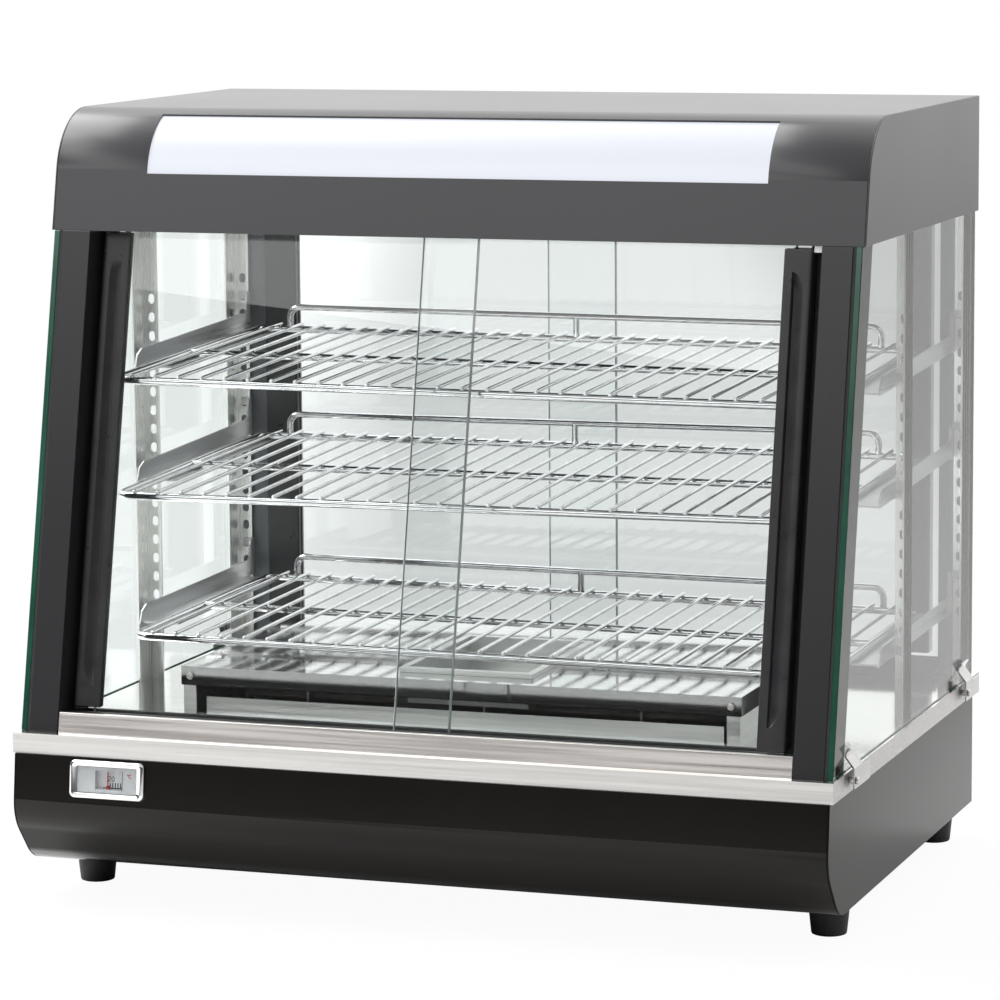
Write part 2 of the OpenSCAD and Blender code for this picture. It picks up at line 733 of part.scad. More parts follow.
// A wire shelf, drawn flat with its front rod on the X axis
module shelf_flat(depth) {
    w = shelf_half_w;
    rod_x(-w + corner_r, w - corner_r, 0, 0, rod_d);
    rod_x(-w + corner_r, w - corner_r, depth, 0, rod_d);
    rod_x(-w, w, depth / 2, 0, mid_rod_d);
    for (s = [-1, 1]) rod_y(s * w, corner_r, depth - corner_r, 0, rod_d);
    bend(w - corner_r, corner_r, -90, corner_r, rod_d);
    bend(w - corner_r, depth - corner_r, 0, corner_r, rod_d);
    bend(-w + corner_r, depth - corner_r, 90, corner_r, rod_d);
    bend(-w + corner_r, corner_r, 180, corner_r, rod_d);
    for (k = [0:wire_count - 1]) {
        x = wire_pitch * (k - (wire_count - 1) / 2);
        rod_y(x, -1, depth + wire_over, wire_z, wire_d);
    }
    rail_bend = 9;
    for (s = [-1, 0, 1]) translate([s * rail_half, depth, 0])
        cylinder(h = rail_h - (s == 0 ? 0 : rail_bend), d = rail_d);
    rod_x(-rail_half + rail_bend, rail_half - rail_bend, depth, rail_h, rail_d);
    for (s = [-1, 1]) side(s) translate([rail_half - rail_bend, depth, rail_h - rail_bend])
        rotate([90, 0, 0]) rotate_extrude(angle = 90) translate([rail_bend, 0]) circle(d = rail_d);
}
module shelf(i) {
    tilt = atan(shelf_rise[i] / shelf_depth(i));
    roll = atan(shelf_tip[i] / shelf_half_w);
    color(chrome) translate([shelf_shift[i], plane_front(i), shelf_front_z[i]]) rotate([tilt, -roll, 0])
        shelf_flat(shelf_depth(i) / cos(tilt));
}
module top_shelf() { shelf(0); }
module middle_shelf() { shelf(1); }
module lower_shelf() { shelf(2); }

// ---- canopy --------------------------------------------------------------------------------------

canopy_r = 58;
canopy_half_w = 330;
canopy_front = front_y(canopy_z) + 0.7;
canopy_arc_z = case_h - canopy_r + canopy_r * sin(lean_angle);
canopy_c = [canopy_front + (canopy_arc_z - canopy_z) * lean_slope + canopy_r * cos(lean_angle),
            case_h - canopy_r];
// The canopy's outline in the YZ plane, inset by t, run past its open underside by over
module canopy_outline(t, over) {
    z = canopy_z - over;
    polygon([
        [canopy_front + (z - canopy_z) * lean_slope + t / cos(lean_angle), z],
        on_arc(canopy_c, canopy_r - t, 180 - lean_angle), canopy_c, [canopy_c[0], case_h - t],
        [rear_y - t, case_h - t], [rear_y - t, z]
    ]);
    intersection() {
        translate(canopy_c) circle(r = canopy_r - t);
        translate([y0, canopy_c[1]]) square([case_d, canopy_r]);
    }
}
window_half_w = 252;
window_z = 566;
window_top_y = y0 + 135.5;
diffuser_half_w = 258;
diffuser_t = 2.5;
diffuser_gap = 0.3;                     // gap between the diffuser and the canopy's inner face

module canopy_shell() {
    x1 = canopy_half_w - sheet;
    color(black) difference() {
        extrude_x(-x1, x1) difference() {
            canopy_outline(0, 0);
            canopy_outline(sheet, 1);
        }
        box(-window_half_w, window_half_w, y0 + 60, window_top_y, window_z, case_h + 5);
    }
}

module canopy_side() {
    color(black) extrude_x(canopy_half_w - sheet, canopy_half_w) canopy_outline(0, 0);
}
module canopy_side_left() { side(-1) canopy_side(); }
module canopy_side_right() { side(1) canopy_side(); }

module canopy_floor() {
    x1 = canopy_half_w - sheet;
    ya = front_y(canopy_z) + 36.6;
    yb = rear_ribs[0][0];
    color(black) {
        box(-x1, x1, ya, yb, canopy_z, canopy_z + sheet);
        box(-x1, x1, ya, ya + sheet, canopy_z, track_top_z);
        for (s = [-1, 1]) side(s) box(x1 - 5.5, x1, yb, rear_y - sheet, canopy_z, canopy_z + sheet);
        for (s = [-1, 1]) side(s) box(x1 - 6.5, x1, front_y(canopy_z) + 6, ya, canopy_z, canopy_z + sheet);
    }
}

module diffuser() {
    low = window_z - 6;
    near = sheet + diffuser_gap;
    color(pale) extrude_x(-diffuser_half_w, diffuser_half_w) intersection() {
        difference() {
            canopy_outline(near, 1);
            canopy_outline(near + diffuser_t, 2);
        }
        translate([y0 + 60, low]) square([window_top_y + 5 - (y0 + 60), case_h - low]);
    }
}

tube_y = y0 + 168;
tube_z = 572;
tube_half = 240;
module light_tube() {
    color(pale) rod_x(-tube_half, tube_half, tube_y, tube_z, 16);
}
module tube_holders() {
    color(pale) for (s = [-1, 1]) side(s) difference() {
        box(tube_half - 8, tube_half + 8, tube_y - 12, tube_y + 12, canopy_z + sheet, tube_z + 12);
        rod_x(tube_half - 9, tube_half, tube_y, tube_z, 16.1);
    }
}

// Identical pan-head screws: one in each glass clip, two in the heater cover, two in the inlet.
// A screw is drawn with its head outside the XY plane and its shank below it.
module small_screw(shank) {
    cylinder(h = 1.9, r = 2.9);
    translate([0, 0, -shank]) cylinder(h = shank, r = 1.5);
}
module small_screws() {
    cover_x = heater_half_w - 8;
    color(steel) {
        for (s = [-1, 1], y = clip_ys) side(s) {
            translate([clip_x + clip_t, y + clip_screw_in, clip_screw_z]) rotate([0, 90, 0])
                small_screw(clip_off + clip_t + 1.8);
            translate([half_w + 0.1, y + clip_screw_in, clip_screw_z]) rotate([0, 90, 0])
                cylinder(h = clip_off - 0.2, r = 2.6);
        }
        for (s = [-1, 1]) {
            translate([s * cover_x, heater_front, heater_top - lid_skirt / 2]) rotate([90, 0, 0])
                small_screw(4);
            translate([inlet_x + s * inlet_screw_x, rear_y + 3, inlet_z]) rotate([-90, 0, 0])
                small_screw(6);
        }
    }
}

base_shell();
base_side_left();
base_side_right();
base_rear_panel();
deck_tray();
front_sill();
heater_box();
heater_cover();
heating_element();
element_supports();
water_pan();
thermostat();
thermostat_knob();
switch_bodies();
heat_rocker();
light_rocker();
power_inlet();
light_tube();
tube_holders();
canopy_shell();
canopy_side_left();
canopy_side_right();
canopy_floor();
diffuser();
thermometer_bezel();
thermometer_housing();
thermometer_needle();
thermometer_lens();
foot_front_left();
foot_front_right();
foot_rear_left();
foot_rear_right();
foot_screws();
front_post_left();
front_post_right();
rear_post_left();
rear_post_right();
standards_left();
standards_right();
top_brackets();
middle_brackets();
lower_brackets();
top_shelf();
middle_shelf();
lower_shelf();
side_glass_left();
side_glass_right();
glass_clips();
glass_gaskets();
front_door_glass_left();
front_door_handle_left();
front_door_glass_right();
front_door_handle_right();
rear_door_glass_left();
rear_door_handle_left();
rear_door_glass_right();
rear_door_handle_right();
front_tracks();
rear_tracks();
small_screws();
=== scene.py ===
import json
import math
import random

import bmesh
import bpy
from mathutils import Matrix, Vector


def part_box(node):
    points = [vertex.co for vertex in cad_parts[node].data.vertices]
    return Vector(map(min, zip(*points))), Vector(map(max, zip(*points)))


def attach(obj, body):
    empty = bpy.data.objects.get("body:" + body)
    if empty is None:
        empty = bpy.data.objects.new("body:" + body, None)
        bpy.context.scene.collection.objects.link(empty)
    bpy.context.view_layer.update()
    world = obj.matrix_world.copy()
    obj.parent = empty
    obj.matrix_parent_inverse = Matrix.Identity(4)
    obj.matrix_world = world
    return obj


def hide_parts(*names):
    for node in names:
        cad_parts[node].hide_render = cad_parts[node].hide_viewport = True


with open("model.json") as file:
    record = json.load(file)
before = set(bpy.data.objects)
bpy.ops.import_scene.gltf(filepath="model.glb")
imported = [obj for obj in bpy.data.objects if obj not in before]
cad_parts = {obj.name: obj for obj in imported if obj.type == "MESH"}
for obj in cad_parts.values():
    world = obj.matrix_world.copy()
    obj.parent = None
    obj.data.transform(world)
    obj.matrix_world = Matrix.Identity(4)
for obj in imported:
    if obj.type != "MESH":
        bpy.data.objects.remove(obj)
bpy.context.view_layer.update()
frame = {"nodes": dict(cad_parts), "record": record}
nodes = frame["nodes"]
scene = bpy.context.scene
MM = 0.001
random.seed(7)


# ---- camera, floor and light ---------------------------------------------------------------------

CAMERA_AT = (1.1184, -3.2347, 0.7874)
CAMERA_YAW, CAMERA_PITCH, CAMERA_ROLL = 19.208, -7.724, -0.414
CAMERA_LENS = 155.25

cam_data = bpy.data.cameras.new("camera")
cam = bpy.data.objects.new("camera", cam_data)
scene.collection.objects.link(cam)
cam.location = CAMERA_AT
turn = Matrix.Rotation(math.radians(CAMERA_YAW), 3, "Z") @ \
    Matrix.Rotation(math.radians(90 + CAMERA_PITCH), 3, "X") @ \
    Matrix.Rotation(math.radians(CAMERA_ROLL), 3, "Z")
cam.rotation_euler = turn.to_euler()
cam_data.sensor_width = 36
cam_data.lens = CAMERA_LENS
cam_data.shift_y = -0.0296
cam_data.clip_end = 50
scene.camera = cam
scene.view_settings.view_transform = "Standard"


def softbox(name, at, aim, size, power, colour=(1, 1, 1)):
    data = bpy.data.lights.new(name, "AREA")
    data.shape = "RECTANGLE"
    data.size, data.size_y = size
    data.energy = power
    data.color = colour
    lamp = bpy.data.objects.new(name, data)
    scene.collection.objects.link(lamp)
    lamp.location = at
    lamp.rotation_euler = (Vector(aim) - Vector(at)).to_track_quat("-Z", "Y").to_euler()
    return lamp


softbox("front", (-1.5, -3.5, 2.40), (-0.2, 0, 0.5), (3.6, 1.7), 35)
softbox("key_left", (-2.1, -1.2, 2.2), (0, 0, 0.4), (1.3, 1.3), 20)
softbox("top", (-1.85, 0.2, 2.6), (-0.3, 0, 0.4), (2.2, 2.1), 88)


ROOM_LIGHT = 0.10                       # behind the camera
WALL_LIGHT = 1.32                       # behind the case
CEILING_LIGHT = 0.5                     # added overhead


def ramp_between(nt, value, a, b, low, high):
    """Low below a, high above b, smooth between."""
    r = nt.nodes.new("ShaderNodeMapRange")
    r.interpolation_type = "SMOOTHSTEP"
    nt.links.new(value, r.inputs["Value"])
    r.inputs["From Min"].default_value = a
    r.inputs["From Max"].default_value = b
    r.inputs["To Min"].default_value = low
    r.inputs["To Max"].default_value = high
    return r.outputs["Result"]


def axes(nt, socket):
    """The X, Y and Z of a vector."""
    split = nt.nodes.new("ShaderNodeSeparateXYZ")
    nt.links.new(socket, split.inputs[0])
    return split.outputs


def place_axes(nt):
    """Where a point lies in its piece's own coordinates."""
    return axes(nt, nt.nodes.new("ShaderNodeTexCoord").outputs["Object"])


def combine(nt, operation, a, b):
    """A sum, a product or the like of two values. Each is a socket or a number."""
    node = nt.nodes.new("ShaderNodeMath")
    node.operation = operation
    for socket, value in zip(node.inputs, (a, b)):
        if isinstance(value, (int, float)):
            socket.default_value = value
        else:
            nt.links.new(value, socket)
    return node.outputs[0]


def dim_base_colour(nt, factor):
    """Multiplies the shader's base colour by a factor."""
    base = nt.nodes["Principled BSDF"].inputs["Base Color"]
    scaled = nt.nodes.new("ShaderNodeVectorMath")
    scaled.operation = "SCALE"
    nt.links.new(base.links[0].from_socket, scaled.inputs[0])
    nt.links.new(factor, scaled.inputs["Scale"])
    nt.links.new(scaled.outputs["Vector"], base)


def seen_directly(nt, path, behind):
    """1 for a ray from the camera, straight or, where behind is 1, through glass."""
    through = combine(nt, "MULTIPLY", path.outputs["Is Transmission Ray"], behind)
    return combine(nt, "MAXIMUM", path.outputs["Is Camera Ray"], through)


def world_light():
    """A white wall behind the case and a dim room behind the camera. To the camera it is plain white."""
    world = bpy.data.worlds.new("studio")
    scene.world = world
    world.use_nodes = True
    nt = world.node_tree
    nt.nodes.clear()
    out = nt.nodes.new("ShaderNodeOutputWorld")
    towards = axes(nt, nt.nodes.new("ShaderNodeTexCoord").outputs["Generated"])
    back = ramp_between(nt, towards["Y"], -0.3, 0.3, ROOM_LIGHT, WALL_LIGHT)
    up = ramp_between(nt, towards["Z"], 0.25, 0.7, 0.0, CEILING_LIGHT)
    lit = nt.nodes.new("ShaderNodeBackground")
    nt.links.new(combine(nt, "ADD", back, up), lit.inputs["Strength"])
    lit.inputs["Color"].default_value = (1.0, 0.995, 0.99, 1)
    plain = nt.nodes.new("ShaderNodeBackground")
    plain.inputs["Color"].default_value = (1, 1, 1, 1)
    path = nt.nodes.new("ShaderNodeLightPath")
    mix = nt.nodes.new("ShaderNodeMixShader")
    nt.links.new(path.outputs["Is Camera Ray"], mix.inputs[0])
    nt.links.new(lit.outputs[0], mix.inputs[1])
    nt.links.new(plain.outputs[0], mix.inputs[2])
    nt.links.new(mix.outputs[0], out.inputs["Surface"])


world_light()


# ---- materials -----------------------------------------------------------------------------------

def material(name, colour=(0.8, 0.8, 0.8), rough=0.5, metal=0.0, **extra):
    m = bpy.data.materials.new(name)
    m.use_nodes = True
    b = m.node_tree.nodes["Principled BSDF"]
    b.inputs["Base Color"].default_value = (*colour, 1)
    b.inputs["Roughness"].default_value = rough
    b.inputs["Metallic"].default_value = metal
    for k, v in extra.items():
        b.inputs[k.replace("_", " ")].default_value = v
    m.diffuse_color = (*colour, 1)
    return m


def texture(m, scale, stretch=(1, 1, 1), detail=4.0, rough=0.55):
    """A 3-D noise in the piece's own coordinates, stretched along its axes."""
    nt = m.node_tree
    coord = nt.nodes.new("ShaderNodeTexCoord")
    mapping = nt.nodes.new("ShaderNodeMapping")
    mapping.inputs["Scale"].default_value = stretch
    noise = nt.nodes.new("ShaderNodeTexNoise")
    noise.inputs["Scale"].default_value = scale
    noise.inputs["Detail"].default_value = detail
    noise.inputs["Roughness"].default_value = rough
    nt.links.new(coord.outputs["Object"], mapping.inputs["Vector"])
    nt.links.new(mapping.outputs["Vector"], noise.inputs["Vector"])
    return noise.outputs["Fac"]


def spread(m, fac, low, high, socket, a=0.3, b=0.7):
    """Drives a number of the shader between low and high by a noise."""
    nt = m.node_tree
    r = nt.nodes.new("ShaderNodeMapRange")
    r.inputs["From Min"].default_value = a
    r.inputs["From Max"].default_value = b
    r.inputs["To Min"].default_value = low
    r.inputs["To Max"].default_value = high
    nt.links.new(fac, r.inputs["Value"])
    nt.links.new(r.outputs["Result"], nt.nodes["Principled BSDF"].inputs[socket])


def tint(m, fac, low, high, a=0.3, b=0.7):
    """Drives the base colour between two colours by a noise."""
    nt = m.node_tree
    ramp = nt.nodes.new("ShaderNodeValToRGB")
    ramp.color_ramp.elements[0].position = a
    ramp.color_ramp.elements[0].color = (*low, 1)
    ramp.color_ramp.elements[1].position = b
    ramp.color_ramp.elements[1].color = (*high, 1)
    nt.links.new(fac, ramp.inputs["Fac"])
    nt.links.new(ramp.outputs["Color"], nt.nodes["Principled BSDF"].inputs["Base Color"])


def relief(m, fac, strength, distance):
    nt = m.node_tree
    bump = nt.nodes.new("ShaderNodeBump")
    bump.inputs["Strength"].default_value = strength
    bump.inputs["Distance"].default_value = distance
    nt.links.new(fac, bump.inputs["Height"])
    nt.links.new(bump.outputs["Normal"], nt.nodes["Principled BSDF"].inputs["Normal"])


def enamel(name, colour, rough=0.30, gloss=0.5, peel=0.08):
    """Satin baked enamel: a faint orange peel and a slow change of gloss."""
    m = material(name, colour, rough)
    tint(m, texture(m, 5, detail=1), [c * 0.94 for c in colour], [c * 1.07 for c in colour], 0.1, 0.9)
    spread(m, texture(m, 6, detail=1), rough - 0.02, rough + 0.02, "Roughness", 0.1, 0.9)
    relief(m, texture(m, 900, detail=2), peel, 0.0002)
    m.node_tree.nodes["Principled BSDF"].inputs["Specular IOR Level"].default_value = gloss
    return m


def brushed(name, colour, rough, grain=(4, 700, 700), peel=0.10):
    """Sheet stainless with a fine grain along X."""
    m = material(name, colour, rough, 1.0)
    fine = texture(m, 1, grain, detail=3)
    tint(m, fine, [c * 0.90 for c in colour], [min(1, c * 1.06) for c in colour])
    spread(m, texture(m, 1, [g * 0.6 for g in grain], detail=2), rough * 0.75, rough * 1.3, "Roughness")
    relief(m, fine, peel, 0.0001)
    return m


def moulded(name, colour, rough=0.5, scale=1400):
    m = material(name, colour, rough)
    tint(m, texture(m, 25, detail=3), [c * 0.8 for c in colour], [c * 1.25 for c in colour])
    spread(m, texture(m, 60, detail=4), rough - 0.06, rough + 0.07, "Roughness")
    relief(m, texture(m, scale, detail=2), 0.06, 0.0002)
    return m


def clear_glass(name, colour=(0.97, 0.99, 0.98)):
    """Real glass to the eye; light for the inside goes straight through it."""
    m = material(name, colour, 0.0, 0.0, IOR=1.5, Transmission_Weight=1.0)
    nt = m.node_tree
    bsdf = nt.nodes["Principled BSDF"]
    out = nt.nodes["Material Output"]
    path = nt.nodes.new("ShaderNodeLightPath")
    straight = nt.nodes.new("ShaderNodeBsdfTransparent")
    straight.inputs["Color"].default_value = (0.93, 0.95, 0.94, 1)
    mix = nt.nodes.new("ShaderNodeMixShader")
    nt.links.new(path.outputs["Is Shadow Ray"], mix.inputs[0])
    nt.links.new(bsdf.outputs[0], mix.inputs[1])
    nt.links.new(straight.outputs[0], mix.inputs[2])
    nt.links.new(mix.outputs[0], out.inputs["Surface"])
    return m


def glowing(name, colour, strength, albedo=1.0):
    m = material(name, [c * albedo for c in colour], 0.3)
    tint(m, texture(m, 6, detail=2), [c * 0.97 * albedo for c in colour], [c * albedo for c in colour])
    b = m.node_tree.nodes["Principled BSDF"]
    b.inputs["Emission Color"].default_value = (*colour, 1)
    b.inputs["Emission Strength"].default_value = strength
    return m


M = {
    "black_enamel": enamel("black_enamel", (0.0062, 0.0050, 0.0042), 0.12, 0.23, 0.01),
    "side_enamel": enamel("side_enamel", (0.004, 0.0035, 0.003), 0.14, 0.10, 0.02),
    "canopy_enamel": enamel("canopy_enamel", (0.044, 0.0445, 0.048)),
    "bracket_steel": brushed("bracket_steel", (0.62, 0.62, 0.625), 0.34, (400, 5, 400), 0.05),
    "stainless": brushed("stainless", (0.64, 0.615, 0.59), 0.36, (6, 500, 500), 0.03),
    "mirror_stainless": brushed("mirror_stainless", (0.74, 0.74, 0.73), 0.12, (5, 250, 250), 0.02),
    # partly the water pan's own bright stainless, partly painted light: a lighter copy of stainless that
    # brightens the shaded inside of the heater box and pan
    "lightened_box_steel": brushed("lightened_box_steel", (0.90, 0.90, 0.89), 0.42, (5, 250, 250), 0.02),
    "sill_steel": brushed("sill_steel", (0.78, 0.745, 0.72), 0.34, (6, 500, 500), 0.03),
    "deck_steel": brushed("deck_steel", (0.90, 0.885, 0.865), 0.36, (6, 500, 500), 0.03),
    "lid_steel": brushed("lid_steel", (0.74, 0.74, 0.73), 0.07, (5, 250, 250), 0.02),
    "bead_steel": brushed("bead_steel", (0.95, 0.95, 0.95), 0.4, (60, 60, 60), 0.03),
    "bright_wire": brushed("bright_wire", (0.70, 0.70, 0.71), 0.07, (60, 60, 60), 0.02),
    "standard_steel": brushed("standard_steel", (0.96, 0.955, 0.93), 0.28, (500, 500, 5), 0.03),
    "element_steel": brushed("element_steel", (0.22, 0.20, 0.18), 0.4, (90, 90, 90), 0.1),
    "post_grey": enamel("post_grey", (0.020, 0.020, 0.022), 0.28),
    "rear_grey": enamel("rear_grey", (0.130, 0.140, 0.150), 0.3),
    "handle_plastic": moulded("handle_plastic", (0.018, 0.018, 0.020), 0.32),
    "track_plastic": moulded("track_plastic", (0.012, 0.012, 0.013), 0.45),
    "clip_steel": brushed("clip_steel", (0.50, 0.50, 0.49), 0.14, (60, 60, 60), 0.02),
    "gasket_rubber": moulded("gasket_rubber", (0.016, 0.017, 0.017), 0.6),
    "foot_rubber": moulded("foot_rubber", (0.010, 0.010, 0.011), 0.55),
    "side_pane": clear_glass("side_pane", (0.93, 0.965, 0.955)),
    "door_pane": clear_glass("door_pane", (0.95, 0.975, 0.97)),
    "glass_edge": material("glass_edge", (0.016, 0.075, 0.045), 0.15),
    "door_edge": material("door_edge", (0.42, 0.46, 0.45), 0.12),
    "diffuser_plastic": glowing("diffuser_plastic", (0.89, 0.92, 1.0), 0.76, 0.12),
    "tube_glass": glowing("tube_glass", (0.92, 0.95, 1.0), 2.0),
    "holder_plastic": moulded("holder_plastic", (0.7, 0.7, 0.69), 0.4),
    "screw_steel": brushed("screw_steel", (0.62, 0.61, 0.59), 0.25, (300, 300, 300), 0.05),
    "control_plastic": moulded("control_plastic", (0.015, 0.015, 0.016), 0.42),
    "red_plastic": moulded("red_plastic", (0.55, 0.02, 0.015), 0.3),
    "bezel_chrome": brushed("bezel_chrome", (0.84, 0.84, 0.85), 0.10, (60, 60, 60), 0.02),
    "dial_plastic": moulded("dial_plastic", (0.72, 0.74, 0.76), 0.45),
    "lens_plastic": clear_glass("lens_plastic", (0.98, 0.985, 0.985)),
    "ink": moulded("ink", (0.01, 0.01, 0.012), 0.5),
}
for edge, low, high in (("glass_edge", (0.010, 0.055, 0.032), (0.022, 0.095, 0.06)),
                        ("door_edge", (0.36, 0.41, 0.40), (0.46, 0.51, 0.50))):
    spread(M[edge], texture(M[edge], 40), 0.1, 0.2, "Roughness")
    tint(M[edge], texture(M[edge], 15), low, high)


def white_above(name, height, colour):
    """The upper track is moulded in white."""
    m = M[name]
    nt = m.node_tree
    over = combine(nt, "GREATER_THAN", place_axes(nt)["Z"], height)
    socket = nt.nodes["Principled BSDF"].inputs["Base Color"]
    mix = nt.nodes.new("ShaderNodeMix")
    mix.data_type = "RGBA"
    nt.links.new(over, mix.inputs["Factor"])
    nt.links.new(socket.links[0].from_socket, mix.inputs["A"])
    mix.inputs["B"].default_value = (*colour, 1)
    nt.links.new(mix.outputs["Result"], socket)


TRACK_WHITE_FROM = 0.5155
white_above("track_plastic", TRACK_WHITE_FROM, (0.75, 0.75, 0.74))


def paint_side_shade(name, side_shade, top_rough=None):
    """Paints shade on a folded sheet: the base colour of its standing faces is multiplied by side_shade,
    darker where less light falls; top_rough is the roughness of its level faces.
    """
    nt = M[name].node_tree
    shader = nt.nodes["Principled BSDF"]
    normal = axes(nt, nt.nodes.new("ShaderNodeNewGeometry").outputs["True Normal"])
    level = ramp_between(nt, normal["Z"], 0.5, 0.9, 0.0, 1.0)
    dim_base_colour(nt, ramp_between(nt, level, 0.0, 1.0, side_shade, 1.0))
    if top_rough is None:
        return
    mix = nt.nodes.new("ShaderNodeMix")
    nt.links.new(level, mix.inputs[0])
    nt.links.new(shader.inputs["Roughness"].links[0].from_socket, mix.inputs[2])
    mix.inputs[3].default_value = top_rough
    nt.links.new(mix.outputs[0], shader.inputs["Roughness"])


# painted shade: the standing faces of the deck tray and of the heater lid are dimmed to 0.60 and 0.37 of
# their colour
paint_side_shade("deck_steel", 0.60, 0.10)
paint_side_shade("lid_steel", 0.37)


def dress(obj, name):
    obj.data.materials.clear()
    obj.data.materials.append(M[name])


def soften(obj, width=0.0005, angle=32):
    """Rounds the sharp edges of a folded or machined piece a little."""
    weld = obj.modifiers.new("weld", "WELD")
    weld.merge_threshold = 2e-6
    flat = obj.modifiers.new("flat", "DECIMATE")
    flat.decimate_type = "DISSOLVE"
    flat.angle_limit = math.radians(1)
    bevel = obj.modifiers.new("bevel", "BEVEL")
    bevel.width = width
    bevel.segments = 2
    bevel.limit_method = "ANGLE"
    bevel.angle_limit = math.radians(angle)
    bevel.harden_normals = True
    bevel.use_clamp_overlap = True


SLOT = {s["node"]: s["material_slot"] for s in frame["record"]["subparts"]}
LOOK = {                                # pieces that differ a little from the rest of their slot
    "canopy_shell": "canopy_enamel", "canopy_side_left": "canopy_enamel",
    "canopy_side_right": "canopy_enamel", "canopy_floor": "canopy_enamel",
    "base_side_left": "side_enamel", "base_side_right": "side_enamel",
    "front_sill": "sill_steel", "deck_tray": "deck_steel", "heater_cover": "lid_steel",
    "rear_post_left": "rear_grey", "rear_post_right": "rear_grey",
    # the heater box and water pan get the lighter steel, partly painted light for their shaded inside
    "heater_box": "lightened_box_steel", "water_pan": "lightened_box_steel",
}
for name, obj in nodes.items():
    dress(obj, LOOK.get(name, SLOT[name]))

# ---- panes ---------------------------------------------------------------------------------------

def mesh_object(name, verts, faces, mats, face_mat=None, smooth=False):
    me = bpy.data.meshes.new(name)
    me.from_pydata([tuple(v) for v in verts], [], faces)
    for m in mats:
        me.materials.append(M[m])
    if face_mat:
        for poly, k in zip(me.polygons, face_mat):
            poly.material_index = k
    if smooth:
        me.polygons.foreach_set("use_smooth", [True] * len(me.polygons))
    me.update()
    obj = bpy.data.objects.new(name, me)
    scene.collection.objects.link(obj)
    return obj


def y_range(node, z):
    """The front and the back of a node at a height where it has vertices."""
    near = [v.co.y for v in nodes[node].data.vertices if abs(v.co.z - z) < 1e-5]
    return min(near), max(near)


def stands_for(obj, node, body):
    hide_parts(node)
    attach(obj, body)
    return obj


def pane(node, body, slot, bevel=0.0006):
    """A sheet of glass with ground edges, in the place of its CAD node."""
    lo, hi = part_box(node)
    (ya0, yb0), (ya1, yb1) = y_range(node, lo.z), y_range(node, hi.z)
    v = [(x, y, z) for x in (lo.x, hi.x)
         for y, z in ((ya0, lo.z), (yb0, lo.z), (yb1, hi.z), (ya1, hi.z))]
    f = [(0, 1, 2, 3), (7, 6, 5, 4), (0, 4, 5, 1), (1, 5, 6, 2), (2, 6, 7, 3), (3, 7, 4, 0)]
    # The two big faces are the sides of a side pane, and the front and the back of a door.
    big = (0, 1) if hi.x - lo.x < 0.01 else (3, 5)
    edge = "glass_edge" if slot == "side_pane" else "door_edge"
    obj = mesh_object("pane_" + node, v, f, [slot, edge], [0 if k in big else 1 for k in range(6)])
    bm = bmesh.new()
    bm.from_mesh(obj.data)
    bmesh.ops.recalc_face_normals(bm, faces=bm.faces)
    bmesh.ops.bevel(bm, geom=list(bm.edges), offset=bevel, segments=1, affect="EDGES",
                    material=1)
    bm.to_mesh(obj.data)
    bm.free()
    return stands_for(obj, node, body)


BODY_OF = {n: b for b, ns in frame["record"]["behaviour"]["bodies"].items() for n in ns}
for n in nodes:
    if SLOT[n] in ("side_pane", "door_pane"):
        pane(n, BODY_OF[n], SLOT[n])

# ---- door handles --------------------------------------------------------------------------------

PULL_U0 = 7.2                           # the steep wall, from the handle's inner edge, in mm
PULL_WALL = 0.12                        # share of the pull's width that the steep wall takes
PULL_REACH = 0.62                       # how far the pull reaches over the rest of the handle's face
PULL_DEPTH = 3.4
PULL_END = 16.5                         # from the handle's end to the pull's tip
PULL_TAPER = 20                         # length over which the pull narrows to its tip
PULL_POINTS = 22                        # points across the pull
LONG_EDGE_R = 1.4                       # radius of the handle's long edges
END_SHRINK = 0.5                        # how much smaller the two end rings are
GLASS_BITE = 8.0                        # how far the glass reaches into the handle
GLASS_PLAY = 0.02


def groove(u, u1, depth):
    """Depth of the finger pull at u: a steep wall, then a hollow floor that rises to u1."""
    if u <= PULL_U0 or u >= u1:
        return 0.0
    t = (u - PULL_U0) / (u1 - PULL_U0)
    if t < PULL_WALL:
        return depth * t / PULL_WALL
    k = (t - PULL_WALL) / (1 - PULL_WALL)
    return depth * (1 - k ** 1.6)


